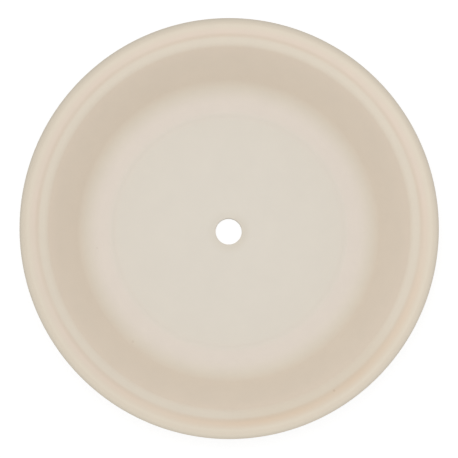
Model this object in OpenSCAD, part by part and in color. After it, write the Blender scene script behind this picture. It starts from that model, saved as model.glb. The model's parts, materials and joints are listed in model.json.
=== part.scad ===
// Diaphragm of an air-operated double-diaphragm pump, moulded in one piece of thermoplastic rubber.
// It is a dished disc: a flat floor with a rod hole, a sloping wall that flexes, and a flat rim
// that ends in a rounded sealing bead. Every form is turned about Z, and Z = 0 is the underside
// of the floor, on which the disc stands.

/* [Disc] */
// Outside diameter, over the bead
outer_d = 200; // [190:1:260]
// Thickness of the floor, the wall and the rim
sheet_t = 4; // [3:0.1:5]

/* [Floor] */
// Diameter of the hole for the pump's rod
rod_hole_d = 12.5; // [6:0.1:30]
// Diameter of the shallow seat of the clamp plate
seat_d = 112; // [60:1:116]
// Depth of the clamp plate's seat
seat_depth = 0.2; // [0.1:0.05:1]

/* [Wall] */
// Width of the straight stretch of the wall, seen from above
wall_w = 13.5; // [10:0.1:16]
// Height of the straight stretch of the wall
wall_h = 18; // [12:0.1:24]
// Radius in the corner between the floor and the wall, inside the dish
floor_bend_r = 13; // [5:0.25:15]
// Radius on the edge where the wall turns out into the rim, inside the dish
shoulder_r = 3.5; // [1:0.1:5]
// Radius in the corner beneath that edge
under_shoulder_r = 3; // [2:0.1:4.4]

/* [Rim] */
// Width of the flat ring between the shoulder and the bead
land_w = 2.5; // [2.2:0.1:6]
// Thickness of the bead, whose outer edge is a full round
bead_t = 8; // [6.4:0.1:9]
// Rise of the bead's crown above the flat ring
crown_h = 0.5; // [0.3:0.1:1.2]
// Radius of the crown where it runs down to the flat ring
crown_r = 23; // [16:0.5:32]
// Radius of the bead's lower side where it runs up to the rim's underside
bead_under_r = 5; // [4.6:0.1:6]

/* [Hidden] */
$fn = 180;

// Slope of the wall, from the floor
slope = atan2(wall_h, wall_w);
// Share of a round's radius that lies between its tangent point and its corner
mitre = tan(slope / 2);

// Height of the rim's flat ring
land_z = sheet_t + wall_h + (floor_bend_r + shoulder_r) * (1 - cos(slope));

// Width of a flank of the bead, from its foot on the sheet to its crest
function flank_w(r, swell) = sqrt(r ^ 2 - (r - swell) ^ 2);

// Radii, from the outside in: the bead's crest, the crease at its foot, and the inner edge of the flat ring
bead_r = bead_t / 2;
crest_x = outer_d / 2 - bead_r;
crease_x = crest_x - flank_w(crown_r, crown_h);
land_x = crease_x - land_w;
// Then the corner that the shoulder rounds off, the edge of the flat floor, and the rod hole
shoulder_x = land_x - shoulder_r * mitre;
floor_edge_x = land_x - wall_w - (shoulder_r + floor_bend_r) * sin(slope);
rod_hole_r = rod_hole_d / 2;

// The rim's sheet reaches this far past the crease, into the bead
rim_overlap = 2;
// Room left around a shape that is cut away or cut back, and lap of a shape that is filled in
spare = 1;

// A direction in the section, given as an angle, counter-clockwise from straight outwards
function heading(angle) = [cos(angle), sin(angle)];

// What lies between a round and the corner that it stands in, and a little past that corner.
// It fills an inner corner, or is cut away from an outer one. The round's centre is the origin, and
// it touches the corner's sides at the angle start and at a turn further on.
module corner_room(r, start, turn) {
    reach = r + spare;
    difference() {
        polygon([
            [0, 0],
            reach * heading(start),
            reach / cos(turn / 2) * heading(start + turn / 2),
            reach * heading(start + turn),
        ]);
        circle(r);
    }
}

// Section of the sheet with sharp corners, from the rod hole out into the bead
module sharp_section() {
    rim_end = crease_x + rim_overlap;
    polygon([
        [rod_hole_r, 0],
        [floor_edge_x + (floor_bend_r + sheet_t) * mitre, 0],
        [shoulder_x + sheet_t * mitre, land_z - sheet_t],
        [rim_end, land_z - sheet_t],
        [rim_end, land_z],
        [shoulder_x, land_z],
        [floor_edge_x + floor_bend_r * mitre, sheet_t],
        [rod_hole_r, sheet_t],
    ]);
}

// Section of the sheet with its rounds. Those of the floor's bend share a centre. The shoulder's two
// don't, so the shoulder is thicker than the sheet.
module sheet_section() {
    up = 90;
    down = -90;
    bend_centre = [floor_edge_x, sheet_t + floor_bend_r];
    shoulder_centre = [land_x, land_z - shoulder_r];
    under_centre = [
        shoulder_x + (sheet_t + under_shoulder_r) * mitre,
        land_z - sheet_t - under_shoulder_r,
    ];
    difference() {
        union() {
            sharp_section();
            translate(bend_centre) corner_room(floor_bend_r, down, slope);
            translate(under_centre) corner_room(under_shoulder_r, up, slope);
        }
        translate(bend_centre) corner_room(floor_bend_r + sheet_t, down, slope);
        translate(shoulder_centre) corner_room(shoulder_r, up, slope);
    }
}

// One flank of the bead, which swells out of the sheet's face at y = 0 up to the crest at x = 0.
// Its root lies inside the sheet and laps over the root of the flank on the other side.
module bead_flank(r, swell) {
    root_w = flank_w(r, swell) + rim_overlap / 2;
    root_depth = (sheet_t + spare) / 2;
    intersection() {
        translate([0, swell - r]) circle(r);
        translate([-root_w, -root_depth]) square([root_w, root_depth + swell + spare]);
    }
}

// Section of the bead: a full round outside, a low crown above and a deeper swell beneath
module bead_section() {
    translate([crest_x, land_z + crown_h - bead_r]) intersection() {
        circle(bead_r);
        translate([0, -bead_t]) square([bead_t, 2 * bead_t]);
    }
    translate([crest_x, land_z]) bead_flank(crown_r, crown_h);
    translate([crest_x, land_z - sheet_t]) mirror([0, 1])
        bead_flank(bead_under_r, bead_t - sheet_t - crown_h);
}

// The clamp plate's seat, cut into the top of the floor round the rod hole
module seat_cut() {
    translate([0, sheet_t - seat_depth]) square([seat_d / 2, seat_depth + spare]);
}

// The whole diaphragm, moulded in one piece
module diaphragm() {
    color("#ddd4c6") rotate_extrude() difference() {
        union() {
            sheet_section();
            bead_section();
        }
        seat_cut();
    }
}

diaphragm();
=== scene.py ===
# %% [markdown]
# A moulded pump diaphragm
#
# The object is the rubber diaphragm of an air-operated pump: a dished disc, about 200 mm across, moulded
# in one piece of cream thermoplastic rubber. Its floor is clamped to the pump's rod, its wall flexes, and
# its rim is clamped between the pump's two chambers.
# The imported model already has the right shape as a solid. This lesson turns the same section again as a
# smooth mesh, adds the fine forms that a mould leaves, and gives it a finish, a light and a camera.

# %% The shared frame
import json
import math

import bpy
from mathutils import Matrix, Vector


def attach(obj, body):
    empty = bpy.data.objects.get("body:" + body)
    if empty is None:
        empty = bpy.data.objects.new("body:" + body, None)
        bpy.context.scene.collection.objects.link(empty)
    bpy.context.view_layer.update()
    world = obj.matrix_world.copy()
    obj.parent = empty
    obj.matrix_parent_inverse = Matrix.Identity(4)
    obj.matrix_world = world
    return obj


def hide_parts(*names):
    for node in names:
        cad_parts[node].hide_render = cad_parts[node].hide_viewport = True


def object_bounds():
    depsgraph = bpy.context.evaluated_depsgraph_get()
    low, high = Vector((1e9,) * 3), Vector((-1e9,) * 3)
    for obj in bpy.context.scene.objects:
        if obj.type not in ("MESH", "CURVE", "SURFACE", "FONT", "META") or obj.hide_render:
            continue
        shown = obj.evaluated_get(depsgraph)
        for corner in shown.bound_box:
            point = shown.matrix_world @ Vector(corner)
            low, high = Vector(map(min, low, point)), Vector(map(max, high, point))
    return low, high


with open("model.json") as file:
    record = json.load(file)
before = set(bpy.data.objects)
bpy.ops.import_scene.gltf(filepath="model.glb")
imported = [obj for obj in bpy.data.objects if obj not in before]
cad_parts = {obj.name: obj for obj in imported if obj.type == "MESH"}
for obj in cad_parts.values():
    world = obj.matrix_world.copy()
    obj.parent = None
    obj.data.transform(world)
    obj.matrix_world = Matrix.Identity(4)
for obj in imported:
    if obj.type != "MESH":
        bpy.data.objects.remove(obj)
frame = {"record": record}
cad_low, cad_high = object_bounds()
MM = 0.001
print("the solid measures", [round(side / MM, 2) for side in cad_high - cad_low], "mm")

# %% [markdown]
# Everything on a turned piece follows from its section, so the sizes come first. The outside radius and
# the height are read from the solid, and the rod hole from its mount in the record. The others are the
# same sizes that the solid was made with, in millimetres. The last few are fine forms that a mould leaves:
# the thin raised line where its halves meet round the bead, and small rounds on edges that are sharp in
# the solid.

# %% Sizes of the section, in millimetres
outer_r = min(cad_high.x, cad_high.y, -cad_low.x, -cad_low.y) / MM
crest_z = cad_high.z / MM
mounts = {mount["name"]: mount for mount in frame["record"]["mounts"]}
hole_r = mounts["rod_hole"]["dims"]["r_mm"]
seat_z = mounts["rod_hole"]["dims"]["length_mm"]

SHEET_T = 4.0
SEAT_R = 56.0
WALL_W, WALL_H = 13.5, 18.0
FLOOR_BEND_R = 13.0
SHOULDER_R, UNDER_SHOULDER_R = 3.5, 3.0
LAND_W = 2.5
BEAD_T = 8.0
CROWN_H, CROWN_R = 0.5, 23.0
BEAD_UNDER_R = 5.0

# Height, width and tip radius of the parting line
PARTING_H, PARTING_W, PARTING_TIP_R = 0.12, 0.36, 0.045
# Rounds on the edges of the rod hole and of the seat, and the width of the seat's soft step
HOLE_EDGE_R, SEAT_EDGE_R, SEAT_EDGE_W = 0.25, 3.0, 1.6
# Rounds in the creases at the bead's upper and lower foot
CREASE_R, UNDER_CREASE_R = 0.8, 0.6

slope = math.atan2(WALL_H, WALL_W)
print("outside radius", round(outer_r, 2), "wall slope", round(math.degrees(slope), 1), "degrees")


# %% [markdown]
# A draughtsman draws such a section as straight lines first, and then puts a radius in each corner. The
# list below does the same: each corner has its distance from the axis, its height and its radius. Even the
# bead's crown is a radius in a corner, between the tangent at the crease and the level line of the crest.
# This is shorter than working out every arc, and each radius stays one number.

# %% Corners of the section
def flank(r, swell):
    """The width of one flank of the bead, and how far before the crest its corner lies.

    The flank is an arc of radius r, and swell is how far the crest stands above the flank's foot.
    """
    width = math.sqrt(r**2 - (r - swell) ** 2)
    return width, r * math.tan(math.asin(width / r) / 2)


land_z = crest_z - CROWN_H
bead_low_z = crest_z - BEAD_T
middle_z = crest_z - BEAD_T / 2
bead_side = outer_r - PARTING_H
bead_r = BEAD_T / 2 - PARTING_W / 2
crest_x = bead_side - bead_r

crown_w, crown_lead = flank(CROWN_R, CROWN_H)
under_w, under_lead = flank(BEAD_UNDER_R, BEAD_T - SHEET_T - CROWN_H)
crease_x = crest_x - crown_w
mitre = math.tan(slope / 2)
shoulder_x = crease_x - LAND_W - SHOULDER_R * mitre
floor_edge_x = crease_x - LAND_W - WALL_W - (SHOULDER_R + FLOOR_BEND_R) * math.sin(slope)

corners = [
    (hole_r, 0, HOLE_EDGE_R),
    (floor_edge_x + (FLOOR_BEND_R + SHEET_T) * mitre, 0, FLOOR_BEND_R + SHEET_T),
    (shoulder_x + SHEET_T * mitre, land_z - SHEET_T, UNDER_SHOULDER_R),
    (crest_x - under_w, land_z - SHEET_T, UNDER_CREASE_R),
    (crest_x - under_lead, bead_low_z, BEAD_UNDER_R - UNDER_CREASE_R),
    (bead_side, bead_low_z, bead_r),
    (bead_side, middle_z - PARTING_W / 2, 0),
    (outer_r, middle_z, PARTING_TIP_R),
    (bead_side, middle_z + PARTING_W / 2, 0),
    (bead_side, crest_z, bead_r),
    (crest_x - crown_lead, crest_z, CROWN_R - CREASE_R),
    (crease_x, land_z, CREASE_R),
    (shoulder_x, land_z, SHOULDER_R),
    (floor_edge_x + FLOOR_BEND_R * mitre, SHEET_T, FLOOR_BEND_R),
    (SEAT_R + SEAT_EDGE_W / 2, SHEET_T, SEAT_EDGE_R),
    (SEAT_R - SEAT_EDGE_W / 2, seat_z, SEAT_EDGE_R),
    (hole_r, seat_z, HOLE_EDGE_R),
]
print(len(corners), "corners; crease at", round(crease_x, 2), "flat floor to", round(floor_edge_x, 2))


# %% [markdown]
# Each round becomes as many straight steps as keep it close to its true arc, so a wide round gets more of
# them than a small one.
# Smooth shading blends the normals of neighbouring faces. Beside a small round, a wide flat face would
# take on some of the round's tilt and look domed. Custom normals could prevent that. An extra point close
# to each round, on both sides of it, does it with plain geometry, which every program reads alike.

# %% Measuring a corner
ARC_ERROR = 0.002


def turn_at(before, here, after):
    """How far the outline turns at a corner, in radians."""
    heading_in = math.atan2(here[1] - before[1], here[0] - before[0])
    heading_out = math.atan2(after[1] - here[1], after[0] - here[0])
    return abs((heading_out - heading_in + math.pi) % (2 * math.pi) - math.pi)


def steps_for(r, turn):
    """How many straight steps keep a round within ARC_ERROR of its true arc.

    A step over the angle a strays from an arc of radius r by about r * a**2 / 8.
    """
    return max(1, math.ceil(turn / math.sqrt(8 * ARC_ERROR / r))) if r else 1


def between(here, there, distance):
    """The point that lies this far from here on the way to there."""
    share = distance / math.dist(here[:2], there[:2])
    return tuple(a + (b - a) * share for a, b in zip(here[:2], there[:2]))


count = len(corners)
turns = [turn_at(corners[i - 1], corners[i], corners[(i + 1) % count]) for i in range(count)]
tangents = [corner[2] * math.tan(turn / 2) for corner, turn in zip(corners, turns)]
print("the sharpest corner turns by", round(math.degrees(max(turns))), "degrees")

# %% The section with its holding points
HOLD = 0.3
# A straight stretch no longer than this has no room for holding points.
SHORT = 3 * HOLD

points, rounds, steps = [], [], []
for i, here in enumerate(corners):
    there = corners[(i + 1) % count]
    points.append(here[:2])
    rounds.append(here[2] * MM)
    steps.append(steps_for(here[2], turns[i]))
    straight = math.dist(here[:2], there[:2]) - tangents[i] - tangents[(i + 1) % count]
    if straight > SHORT:
        points.append(between(here, there, tangents[i] + HOLD))
        points.append(between(there, here, tangents[(i + 1) % count] + HOLD))
        rounds += [0.0, 0.0]
        steps += [1, 1]

section = bpy.data.meshes.new("section")
section.from_pydata(
    [((x - hole_r) * MM, -z * MM, 0) for x, z in points],
    [(i, (i + 1) % len(points)) for i in range(len(points))],
    [],
)
section.attributes.new("round", "FLOAT", "POINT").data.foreach_set("value", rounds)
section.attributes.new("steps", "INT", "POINT").data.foreach_set("value", steps)
print("the section has", len(points), "points before its corners are rounded")


# %% [markdown]
# Both the turning tree and the finish are built of nodes. In the editor each node is placed, set and wired
# by hand. Here one small function adds a node, sets its settings, and then links or sets each input, so
# that a tree reads from top to bottom.

# %% A helper that adds a node
def add(tree, kind, inputs=(), **settings):
    """Adds a node. An input takes a plain value, a node (its first output in use) or an output socket."""
    node = tree.nodes.new(kind)
    for name, value in settings.items():
        setattr(node, name, value)
    for key, value in dict(inputs).items():
        if isinstance(key, str):
            socket = next(s for s in node.inputs if s.name == key and s.enabled)
        else:
            socket = node.inputs[key]
        if isinstance(value, bpy.types.Node):
            value = next(s for s in value.outputs if s.enabled)
        if isinstance(value, bpy.types.NodeSocket):
            tree.links.new(value, socket)
        else:
            socket.default_value = value
    return node


# %% [markdown]
# The mould was turned on a lathe, so the piece follows one rule: a section carried round the axis. A Screw
# modifier could carry a finished outline, but each arc would then have to be worked out as points. In
# Geometry Nodes the section becomes a curve, Fillet Curve puts in the radii, and Curve to Mesh carries it
# along a circle. That circle is the edge of the rod hole, from which the section's points are measured.

# %% Inputs of the turning tree
TREE_INPUTS = {
    "Section": "NodeSocketGeometry",
    "Path Radius": "NodeSocketFloat",
    "Sides": "NodeSocketInt",
    "Rim Radius": "NodeSocketFloat",
    "Rim Ease": "NodeSocketFloat",
    "Finish": "NodeSocketMaterial",
}
turning = bpy.data.node_groups.new("turned_moulding", "GeometryNodeTree")
sockets = {}
for name, kind in TREE_INPUTS.items():
    sockets[name] = turning.interface.new_socket(name, in_out="INPUT", socket_type=kind).identifier
turning.interface.new_socket("Moulding", in_out="OUTPUT", socket_type="NodeSocketGeometry")
given = add(turning, "NodeGroupInput").outputs
print("the turning tree takes:", ", ".join(sockets))

# %% The section, rounded and turned
MERGE = 0.005
outline = add(turning, "GeometryNodeMeshToCurve", {"Mesh": given["Section"]})
round_of = add(turning, "GeometryNodeInputNamedAttribute", {"Name": "round"}, data_type="FLOAT")
steps_of = add(turning, "GeometryNodeInputNamedAttribute", {"Name": "steps"}, data_type="INT")
fillets = {"Curve": outline, "Radius": round_of, "Count": steps_of, "Limit Radius": True}
rounded = add(turning, "GeometryNodeFilletCurve", fillets, mode="POLY")
circle = {"Radius": given["Path Radius"], "Resolution": given["Sides"]}
path = add(turning, "GeometryNodeCurvePrimitiveCircle", circle)
turned = add(turning, "GeometryNodeCurveToMesh", {"Curve": path, "Profile Curve": rounded})
# Where one round runs straight into the next, their end points fall together and are merged.
merged = add(turning, "GeometryNodeMergeByDistance", {"Geometry": turned, "Distance": MERGE * MM})
outward = add(turning, "GeometryNodeFlipFaces", {"Mesh": merged})
print("turning the section takes", len(turning.nodes), "nodes")

# %% [markdown]
# A rubber rim isn't quite round: this one is a little narrower along X than along Y. Scaling the whole disc
# would do that, but it would make the rod hole oval too. So each point moves towards the axis by its own
# x, times a share that grows with the square of its distance from the axis. The rod hole and the floor
# nearly keep their form, and the rim takes most of the change.

# %% The eased moulding
# At the rim, each side along X lies this many millimetres closer to the axis than on a true circle.
RIM_EASE = 0.7
FLAT = (1, 1, 0)
BACK_ALONG_X = (-1, 0, 0)
SQUARE = 2.0

point = add(turning, "GeometryNodeInputPosition")
flat_point = add(turning, "ShaderNodeVectorMath", {0: point, 1: FLAT}, operation="MULTIPLY")
off_axis = add(turning, "ShaderNodeVectorMath", {0: flat_point}, operation="LENGTH").outputs["Value"]
share = add(turning, "ShaderNodeMath", {0: off_axis, 1: given["Rim Radius"]}, operation="DIVIDE")
growth = add(turning, "ShaderNodeMath", {0: share, 1: SQUARE}, operation="POWER")
pull = add(turning, "ShaderNodeMath", {0: growth, 1: given["Rim Ease"]}, operation="MULTIPLY")
pull_share = add(turning, "ShaderNodeMath", {0: pull, 1: given["Rim Radius"]}, operation="DIVIDE")
along_x = add(turning, "ShaderNodeVectorMath", {0: point, 1: BACK_ALONG_X}, operation="MULTIPLY")
shift = add(turning, "ShaderNodeVectorMath", {0: along_x, "Scale": pull_share}, operation="SCALE")
eased = add(turning, "GeometryNodeSetPosition", {"Geometry": outward, "Offset": shift})
smooth = add(turning, "GeometryNodeSetShadeSmooth", {"Geometry": eased})
plain = add(turning, "GeometryNodeRealizeInstances", {"Geometry": smooth})
finished = add(turning, "GeometryNodeSetMaterial", {"Geometry": plain, "Material": given["Finish"]})
add(turning, "NodeGroupOutput", {"Moulding": finished})
print("the rim is eased in by", RIM_EASE, "mm, and the whole tree has", len(turning.nodes), "nodes")


# %% [markdown]
# The real material is a cream thermoplastic rubber. Its colour isn't the same everywhere: the floor is
# palest, the ring between the plate's seat and the wall is a little pinker, and the rim is warmer. The wall
# is warmer too, partly as painted warm bounce light, and the crease along the bead is warmest, with painted
# bounce light. Some colours below are painted light and painted shade. The colours are written as they
# would be picked from a picture, and one function turns them into the linear values that a shader works
# with.

# %% Colours
def linear(hex_colour):
    """An sRGB hex colour as the linear colour that a shader works with."""
    channels = [int(hex_colour[i : i + 2], 16) / 255 for i in (1, 3, 5)]
    return [c / 12.92 if c <= 0.04045 else ((c + 0.055) / 1.055) ** 2.4 for c in channels] + [1.0]


FLOOR_CREAM = linear("#ddd6ca")
RING_PINK = linear("#e0d6cb")
BEND_CREAM = linear("#dbd1c1")
# Partly the rubber's own warmer cream, partly painted warm bounce light between the wall and the floor
WALL_CREAM_AND_BOUNCE = linear("#dccfbe")
# Painted light: the upper half of the wall is lighter, as less of the dish hides the light from it
WALL_TOP_PAINTED_LIGHT = linear("#dfd1c0")
LAND_CREAM = linear("#dbd0bf")
BEAD_CREAM = linear("#ded3c1")
# Painted shade on the bead's outer side, where it turns down
EDGE_PAINTED_SHADE_CREAM = linear("#dcd0be")
# Painted warm bounce light in the crease: pink, and peach on one side
PINK_BOUNCE_LIGHT = linear("#dfcfbf")
PEACH_BOUNCE_LIGHT = linear("#ddc8b1")
# A thin darker line along the crease
CREASE_DARK_LINE = linear("#cfbca7")
STAIN_TAN = linear("#ccb89c")
# Painted shade along the edge of the seat's step
SEAT_STEP_PAINTED_SHADE = linear("#dcd4c8")
HOLE_SHADE = linear("#d7cfc1")
SPECK_BROWN = linear("#a08468")
print("the floor's cream in linear values:", [round(channel, 3) for channel in FLOOR_CREAM[:3]])

# %% [markdown]
# The finish could be painted on an unwrapped mesh, but on a turned piece it follows from a few numbers at
# each point: its distance from the axis, its height, and how far it lies towards some side of the disc.
# They come from Object coordinates, so the finish needs no unwrapping and moves with the disc. The rim is
# eased in along X, so x is stretched back by as much before the distance is measured.

# %% The rubber's material, and the distances on it
UNEASED = (1 + RIM_EASE / outer_r * (crease_x / outer_r) ** 2, 1, 0)

# Thermoplastic rubber as moulded in eroded steel: matt, with a broad, soft sheen and no sharp reflection
rubber = bpy.data.materials.new("moulded_cream_tpv_rubber")
rubber.use_nodes = True
finish = rubber.node_tree
finish.nodes.clear()
place = add(finish, "ShaderNodeTexCoord").outputs["Object"]
height = add(finish, "ShaderNodeSeparateXYZ", {0: place}).outputs["Z"]
flat_place = add(finish, "ShaderNodeVectorMath", {0: place, 1: FLAT}, operation="MULTIPLY")
round_place = add(finish, "ShaderNodeVectorMath", {0: place, 1: UNEASED}, operation="MULTIPLY")
radius = add(finish, "ShaderNodeVectorMath", {0: round_place}, operation="LENGTH").outputs["Value"]
print("x is stretched by", round((UNEASED[0] - 1) * 100, 2), "percent before the distance is measured")


# %% Distances towards four sides of the disc
def heading(degrees):
    """The direction across the disc at this angle from +X, counter-clockwise seen from above."""
    return math.cos(math.radians(degrees)), math.sin(math.radians(degrees)), 0


# The sides on which the crease's painted bounce light is peach, the floor round the hole is darker, and
# painted shade darkens the rim and its outermost edge
HEADINGS = {"peach": -63.2, "hole_dark": -45, "painted_rim_shade": 232.3, "painted_edge_shade": 101.5}
towards = {}
for name, degrees in HEADINGS.items():
    ends = {0: place, 1: heading(degrees)}
    towards[name] = add(finish, "ShaderNodeVectorMath", ends, operation="DOT_PRODUCT").outputs["Value"]
print("sides of the disc, in degrees:", HEADINGS)


# %% [markdown]
# A zone of the finish is a mask: 1 where its colour is full, 0 where it is gone, and soft in between. One
# colour ramp over the distance could hold all the rings, but its stops would be shares of the whole range.
# Here a zone is the product of bands, and each band says at which millimetre of a distance or a height it
# is gone and full. A ring is two bands, one that rises and one that falls.

# %% A helper for zones
def zone(*bands, most=1.0, within=None):
    """A soft mask. Each band is a value, and the millimetres at which the zone is gone and full.

    most is the mask's greatest value, and within is another mask that it is multiplied by.
    """
    mask = most
    for value, gone, full in bands:
        edges = {"Value": value, "From Min": gone * MM, "From Max": full * MM}
        band = add(finish, "ShaderNodeMapRange", edges, interpolation_type="SMOOTHSTEP")
        mask = add(finish, "ShaderNodeMath", {0: mask, 1: band}, operation="MULTIPLY")
    if within is not None:
        mask = add(finish, "ShaderNodeMath", {0: mask, 1: within}, operation="MULTIPLY")
    return mask


def ring(base, start, peak, end):
    """The two bands of a ring that starts, is full and ends this far outside a base radius."""
    return (radius, base + start, base + peak), (radius, base + end, base + peak)


SOFT = 1.0
# These bands keep a zone off the underside.
above_floor = (height, SHEET_T - 2 * SOFT, SHEET_T - SOFT)
above_rim = (height, land_z - SHEET_T + SOFT, land_z - SOFT)
print("zones on the floor start", above_floor[1], "mm high, those on the rim", round(above_rim[1], 2), "mm")

# %% [markdown]
# The colour changes from the floor to the edge. Most of it is the rubber's own, but the wall's warmth is
# partly painted warm bounce light, the wall's upper half is lighter as painted light, and a narrow darker
# band on the bead's outer side is painted shade where the bead turns down. The finish starts as the
# floor's cream, and each zone further out lays its colour over the one before, so no two zones have to meet
# exactly. The list runs outwards: the ring outside the seat, the bend, the wall, its upper half, the flat
# ring past the shoulder, the bead, and that band on the bead's outer side.

# %% Layers from the floor to the edge
SEAT_SOFT = 4.0
# Shares of the bend's width at which its own colour is full, and at which the wall's starts and is full
BEND_FULL, WALL_START, WALL_FULL = 0.8, 0.55, 1.05
# Start, peak and end of the painted shade on the bead's outer side, from the crest
EDGE_SHADE_RING = (0, 1.2, 2.94)

bend_w = FLOOR_BEND_R * math.sin(slope)
over_shoulder = (radius, shoulder_x - SHOULDER_R / 2, shoulder_x + SHOULDER_R / 4)
layers = [
    (zone((radius, SEAT_R - SEAT_SOFT, SEAT_R + SEAT_SOFT), above_floor), RING_PINK),
    (zone((radius, floor_edge_x - SOFT, floor_edge_x + BEND_FULL * bend_w)), BEND_CREAM),
    # The wall's warmer cream, partly painted warm bounce light
    (zone((radius, floor_edge_x + WALL_START * bend_w, floor_edge_x + WALL_FULL * bend_w)), WALL_CREAM_AND_BOUNCE),
    # Painted light: the upper half of the wall is lighter
    (zone((radius, shoulder_x - WALL_W / 2, shoulder_x)), WALL_TOP_PAINTED_LIGHT),
    (zone(over_shoulder), LAND_CREAM),
    (zone((radius, crease_x, crest_x)), BEAD_CREAM),
    # Painted shade: a darker band where the bead turns down
    (zone(*ring(crest_x, *EDGE_SHADE_RING)), EDGE_PAINTED_SHADE_CREAM),
]
print(len(layers), "layers lie over the floor's cream")

# %% [markdown]
# Moulded rubber is never quite even. Three noise patterns give the finish that: patches about two
# centimetres across in the painted bounce light, the painted shade and the crease's darker line, smaller
# clouds in the lightness and the gloss, and the grain that eroded steel leaves. Noise in all three
# directions has no seam and no pole, which a flat pattern wrapped round the disc would have.

# %% Three sizes of unevenness
# Width in millimetres, detail and roughness of each pattern
# The real grain is finer than half a millimetre. It is drawn this coarse so that a render shows it.
PATTERNS = {"patches": (24, 2.0, 0.5), "clouds": (12, 3.0, 0.6), "grain": (0.5, 3.0, 0.6)}
pattern = {}
for name, (width, detail, roughness) in PATTERNS.items():
    noise = {"Vector": place, "Scale": 1 / (width * MM), "Detail": detail, "Roughness": roughness}
    pattern[name] = add(finish, "ShaderNodeTexNoise", noise).outputs["Fac"]

# A patchy layer has its least strength where the noise is low, and is full where it is high.
NOISE_LOW, NOISE_HIGH, PATCH_LEAST = 0.3, 0.7, 0.6
spread = {"From Min": NOISE_LOW, "From Max": NOISE_HIGH, "To Min": PATCH_LEAST}
patchy = add(finish, "ShaderNodeMapRange", {"Value": pattern["patches"], **spread})
print("widths of the patterns in mm:", {name: PATTERNS[name][0] for name in pattern})

# %% [markdown]
# A warm pink is painted in the crease and on the bead's inner flank: painted bounce light, standing in
# for light that bounces and scatters warm in the crease. It is pink on most of the round and turns to peach
# on one side. A thin darker line is painted along the crease itself. Both come in patches, and both stay on
# the upper side. They could be brushed on by hand, but rings that start from the crease's own radius stay
# with it when a size changes.

# %% Painted bounce light and a darker line in the crease
# Start, peak and end of each ring, from the crease
BOUNCE_LIGHT_RING = (-1.4, 1.4, 5.5)
CREASE_LINE_RING, CREASE_LINE_MOST = (-1.5, 0.1, 1.9), 0.42
# The painted bounce light turns from pink to peach between this share of the crease's radius and the crease.
PEACH_START = 0.15

peach_side = zone((towards["peach"], PEACH_START * crease_x, crease_x))
bounce_light_mix = {"Factor": peach_side, "A": PINK_BOUNCE_LIGHT, "B": PEACH_BOUNCE_LIGHT}
bounce_light_colour = add(finish, "ShaderNodeMix", bounce_light_mix, data_type="RGBA")
layers += [
    # Painted warm bounce light in the crease
    (zone(*ring(crease_x, *BOUNCE_LIGHT_RING), above_rim, within=patchy), bounce_light_colour),
    # A thin darker line along the crease
    (zone(*ring(crease_x, *CREASE_LINE_RING), above_rim, most=CREASE_LINE_MOST, within=patchy), CREASE_DARK_LINE),
]
print(len(layers), "layers with the crease")

# %% [markdown]
# Along the edge of the clamp plate's seat runs a faint darker line: painted shade, standing in for the
# shadow of the seat's step. A deeper step would give such a line by its shadow, but the seat is only a
# fraction of a millimetre deep, so it is painted. Round the rod hole the floor is painted a little darker
# too, more on one side than on the other.

# %% Painted shade at the seat, and a darker ring round the rod hole
# Start, peak and end of the seat's line, from the seat's edge
SEAT_LINE = (-2.8, -0.7, 1.4)
# Width of the darker ring round the rod hole, and its strength on its lighter side
HOLE_DARK_W, HOLE_DARK_LEAST = 5.3, 0.4

across_hole = {"From Min": -hole_r * MM, "From Max": hole_r * MM, "To Min": HOLE_DARK_LEAST}
hole_darkening = add(finish, "ShaderNodeMapRange", {"Value": towards["hole_dark"], **across_hole})
layers += [
    # Painted shade along the seat's step
    (zone(*ring(SEAT_R, *SEAT_LINE), above_floor, within=patchy), SEAT_STEP_PAINTED_SHADE),
    # Darker round the rod hole, more towards one side
    (zone((radius, hole_r + HOLE_DARK_W, hole_r), above_floor, within=hole_darkening), HOLE_SHADE),
]
# The seat's painted shade and the darker ring round the rod hole
print(len(layers), "layers with the wear on the floor")

# %% [markdown]
# One stretch of the rim is stained, from the shoulder to the bead, and three small specks of dirt lie at
# their places: one in the crease, and two fainter ones where the floor turns up into the wall. Flakes of
# mesh could be laid on for them, but dirt this thin has no height. So each is a soft round spot in the
# finish, and the stain is a large one that shows only on the rim.

# %% A stain and three specks
# Distance from the axis, direction in degrees, where the spot is full and gone, and its strength
STAIN = (90, -61, 26, 54, 0.17)
SPECKS = [
    (91.6, -57.4, 0.28, 0.85, 0.24),
    (63.3, 187.3, 0.23, 0.7, 0.1),
    (69.9, 229.2, 0.28, 0.85, 0.14),
]

spots = [(STAIN, STAIN_TAN, [over_shoulder, (radius, crest_x, crease_x)])]
spots += [(speck, SPECK_BROWN, [above_floor]) for speck in SPECKS]
for (distance, degrees, full, gone, strength), spot_colour, limits in spots:
    ends = {0: flat_place, 1: [distance * MM * part for part in heading(degrees)]}
    off = add(finish, "ShaderNodeVectorMath", ends, operation="DISTANCE").outputs["Value"]
    layers.append((zone((off, gone, full), *limits, most=strength), spot_colour))
print(len(spots), "spots, so", len(layers), "layers in all")

# %% [markdown]
# On the real rubber, dirt lies over the moulded colour. The list of layers runs from the rubber's colour,
# with its painted light and shade, to the darker marks, the stain and the specks, so one loop can lay them
# all over the floor's cream, each mixed over the ones before it.

# %% The cream with its layers
cream = FLOOR_CREAM
for mask, layer_colour in layers:
    mix = {"Factor": mask, "A": cream, "B": layer_colour}
    cream = add(finish, "ShaderNodeMix", mix, data_type="RGBA")
print("the finish has", len(finish.nodes), "nodes so far")

# %% [markdown]
# The rim is painted a few parts in a hundred darker on one side than on the other, and its outermost edge,
# where the bead turns down, is painted darker on another side. This is painted shade, standing in for light
# that falls unevenly on the rim, which the light that fits the wall doesn't give. Each painted shade runs
# evenly across the disc and shows only on its own band.

# %% The rim's painted shade
RIM_PAINTED_SHADE, EDGE_SIDE_PAINTED_SHADE = 0.03, 0.1
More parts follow.
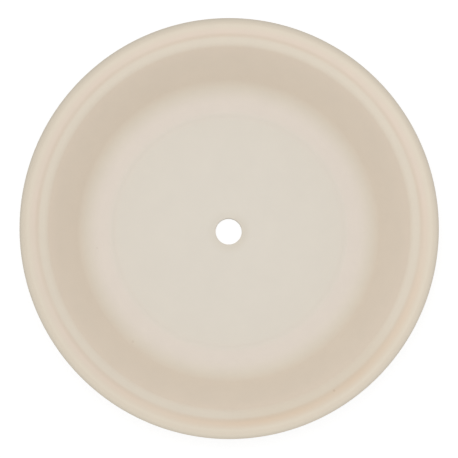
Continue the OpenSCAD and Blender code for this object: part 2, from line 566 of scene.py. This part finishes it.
# The edge's painted shade starts this far inside the crest.
EDGE_START = 1.5

tones = [
    ("painted_rim_shade", RIM_PAINTED_SHADE, zone(over_shoulder, (radius, outer_r, crest_x))),
    ("painted_edge_shade", EDGE_SIDE_PAINTED_SHADE, zone((radius, crest_x - EDGE_START, outer_r))),
]
across_disc = {"From Min": -outer_r * MM, "From Max": outer_r * MM}
# Painted shade: each lean makes its band darker on its side of the disc and lighter on the other side
painted_rim_light = 1.0
for name, most, mask in tones:
    lean = {"Value": towards[name], **across_disc, "To Min": most, "To Max": -most}
    tone = add(finish, "ShaderNodeMapRange", lean)
    painted_rim_light = add(finish, "ShaderNodeMath", {0: tone, 1: mask, 2: painted_rim_light}, operation="MULTIPLY_ADD")
print("tones of the rim:", {name: most for name, most, mask in tones})

# %% [markdown]
# The clouds shift the lightness by up to three parts in a hundred, and the roughness by about a tenth. The
# grain is only a hundredth of a millimetre deep. As true geometry it would need millions of faces, so it is
# a bump. Rubber of this kind has an index of refraction near 1.5. Its moulded skin reflects a little less
# than that gives, so the specular level is lower than the usual 0.5.

# %% The rubber's shader
CLOUD_DEPTH = 0.03
ROUGH_LEAST, ROUGH_MOST = 0.58, 0.72
GRAIN_DEPTH = 0.012
RUBBER_IOR, SPECULAR_LEVEL = 1.5, 0.4

lightness = {"To Min": 1 - CLOUD_DEPTH, "To Max": 1 + CLOUD_DEPTH}
cloud_light = add(finish, "ShaderNodeMapRange", {"Value": pattern["clouds"], **lightness})
# The clouds' lightness times the rim's painted shade
light = add(finish, "ShaderNodeMath", {0: cloud_light, 1: painted_rim_light}, operation="MULTIPLY")
clouded = add(finish, "ShaderNodeVectorMath", {0: cream, "Scale": light}, operation="SCALE")
gloss = {"To Min": ROUGH_LEAST, "To Max": ROUGH_MOST}
rough = add(finish, "ShaderNodeMapRange", {"Value": pattern["clouds"], **gloss})
bump = {"Strength": 1.0, "Distance": GRAIN_DEPTH * MM, "Height": pattern["grain"]}
skin = {
    "Base Color": clouded,
    "Roughness": rough,
    "IOR": RUBBER_IOR,
    "Specular IOR Level": SPECULAR_LEVEL,
    "Normal": add(finish, "ShaderNodeBump", bump),
}
add(finish, "ShaderNodeOutputMaterial", {"Surface": add(finish, "ShaderNodeBsdfPrincipled", skin)})
print("the whole finish has", len(finish.nodes), "nodes")

# %% [markdown]
# Now the section becomes the moulding. Its mesh gets the turning tree as a modifier, whose inputs are set
# by their identifiers. The modifier could stay live, but the export needs a plain mesh, so the evaluated
# result is copied to one, and the object with the modifier is removed. With 288 sides, the rim stays within
# a hundredth of a millimetre of its true round. The moulding stands for the solid, and rides on the part's
# only body.

# %% The moulding itself
SIDES = 288
maker = bpy.data.objects.new("section", section)
bpy.context.scene.collection.objects.link(maker)
modifier = maker.modifiers.new("turned", "NODES")
modifier.node_group = turning
modifier[sockets["Path Radius"]] = hole_r * MM
modifier[sockets["Sides"]] = SIDES
modifier[sockets["Rim Radius"]] = outer_r * MM
modifier[sockets["Rim Ease"]] = RIM_EASE * MM
modifier[sockets["Finish"]] = rubber
maker.update_tag()
evaluated = maker.evaluated_get(bpy.context.evaluated_depsgraph_get())
moulding = bpy.data.objects.new("diaphragm_moulding", bpy.data.meshes.new_from_object(evaluated))
bpy.context.scene.collection.objects.link(moulding)
bpy.data.objects.remove(maker)
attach(moulding, "root")
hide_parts("diaphragm")
moulding.data.calc_loop_triangles()
print("the moulding has", len(moulding.data.loop_triangles), "triangles")

# %% [markdown]
# The disc lies on white paper. A sheet that is lit to pure white would throw too much light up at the rim,
# so the paper shows two faces. To the camera, and in reflections, it glows nearly white by itself, and a
# grey share on top catches the soft shadow under the rim. To every other ray it is a plain pale grey sheet.

# %% The floor's sheet
# In metres
FLOOR_SIDE = 12.0
half = FLOOR_SIDE / 2
floor_mesh = bpy.data.meshes.new("floor")
floor_mesh.from_pydata(
    [(-half, -half, 0), (half, -half, 0), (half, half, 0), (-half, half, 0)], [], [(0, 1, 2, 3)]
)
floor = bpy.data.objects.new("floor", floor_mesh)
bpy.context.scene.collection.objects.link(floor)
print("the floor measures", FLOOR_SIDE, "m each way")


# %% The floor's paper
def seen_directly(tree):
    """1 for rays from the camera, from a reflection or through glass, and 0 for rays that gather light."""
    rays = add(tree, "ShaderNodeLightPath").outputs
    seen = 0.0
    for ray in ("Is Camera Ray", "Is Glossy Ray", "Is Transmission Ray"):
        seen = add(tree, "ShaderNodeMath", {0: seen, 1: rays[ray]}, operation="MAXIMUM")
    return seen


SELF_WHITE = 0.8
SHADOW_CATCH = linear("#959595")
PAPER_GREY = linear("#c0c0c0")

# Uncoated paper: matt and even, with no sheen
paper = bpy.data.materials.new("white_paper_floor")
paper.use_nodes = True
sheet = paper.node_tree
sheet.nodes.clear()
glow = add(sheet, "ShaderNodeEmission", {"Strength": SELF_WHITE})
catch = add(sheet, "ShaderNodeBsdfDiffuse", {"Color": SHADOW_CATCH})
shown = add(sheet, "ShaderNodeAddShader", {0: glow, 1: catch})
lit = add(sheet, "ShaderNodeBsdfDiffuse", {"Color": PAPER_GREY})
faces = add(sheet, "ShaderNodeMixShader", {0: seen_directly(sheet), 1: lit, 2: shown})
add(sheet, "ShaderNodeOutputMaterial", {"Surface": faces})
floor_mesh.materials.append(paper)
print("the paper glows at", SELF_WHITE, "of white where it is seen")

# %% [markdown]
# The light is plain and soft. Lamps alone would leave harder shadows in the dish, so a white dome gives
# about three quarters of the light. One large soft box, a little to one side of the axis, gives the rest
# and makes one side of the wall lighter than the other. Together they light a white card to about 1, so a
# colour renders about as it is written.

# %% The dome
DOME, BACKDROP = 0.77, 1.0
WHITE = (1, 1, 1, 1)
world = bpy.data.worlds.new("studio")
bpy.context.scene.world = world
world.use_nodes = True
sky = world.node_tree
sky.nodes.clear()
dome = add(sky, "ShaderNodeBackground", {"Color": WHITE, "Strength": DOME})
backdrop = add(sky, "ShaderNodeBackground", {"Color": WHITE, "Strength": BACKDROP})
faces = add(sky, "ShaderNodeMixShader", {0: seen_directly(sky), 1: dome, 2: backdrop})
add(sky, "ShaderNodeOutputWorld", {"Surface": faces})
print("the dome lights a white card to", DOME)

# %% The soft box
# Its place and its side, in metres
KEY_AT, KEY_SIDE = (-0.12, 0.17, 1.5), 1.0
KEY_BRIGHTNESS = 0.24

key_data = bpy.data.lights.new("key", "AREA")
key_data.size = KEY_SIDE
# A lamp of this power lights a white card that faces it, at this distance, to the brightness.
key_data.energy = KEY_BRIGHTNESS * math.pi**2 * math.hypot(*KEY_AT) ** 2
key = bpy.data.objects.new("key", key_data)
key.location = KEY_AT
key.rotation_euler = (-key.location).to_track_quat("-Z", "Y").to_euler()
key.visible_camera = False
bpy.context.scene.collection.objects.link(key)
print("the soft box has", round(key_data.energy, 2), "W")

# %% [markdown]
# The picture is taken from nearly straight above. The rim hides none of the wall, but the rod hole, which
# lies deeper, appears a few pixels off the middle of the outline, and that gives the camera's tilt. The
# lens could be found by trying, but it follows from the distance and from the rim's radius in the picture.

# %% The camera
# The picture's side and the rim's radius in it, in pixels
PICTURE_SIDE, RIM_PX = 458, 211.2
# The camera's distance in metres, and its sensor's width in millimetres
DISTANCE, SENSOR_W = 2.5, 36.0
TILT_DEG, ASIDE_DEG = 4.45, 0.78
# The point that the camera looks at, in millimetres
AIM = (-0.04, -0.51, middle_z)

camera_data = bpy.data.cameras.new("camera")
focal_px = RIM_PX * DISTANCE / (outer_r * MM)
camera_data.sensor_width = SENSOR_W
camera_data.lens = SENSOR_W * focal_px / PICTURE_SIDE
camera = bpy.data.objects.new("camera", camera_data)
tilt = math.radians(TILT_DEG)
aside = math.radians(ASIDE_DEG)
away = (-math.sin(aside), -math.sin(tilt), math.cos(tilt) * math.cos(aside))
camera.location = [aim * MM + DISTANCE * step for aim, step in zip(AIM, away)]
camera.rotation_euler = (tilt, -aside, 0)
bpy.context.scene.collection.objects.link(camera)
bpy.context.scene.camera = camera
bpy.context.scene.view_settings.view_transform = "Standard"
print("the camera's lens is", round(camera_data.lens, 1), "mm")
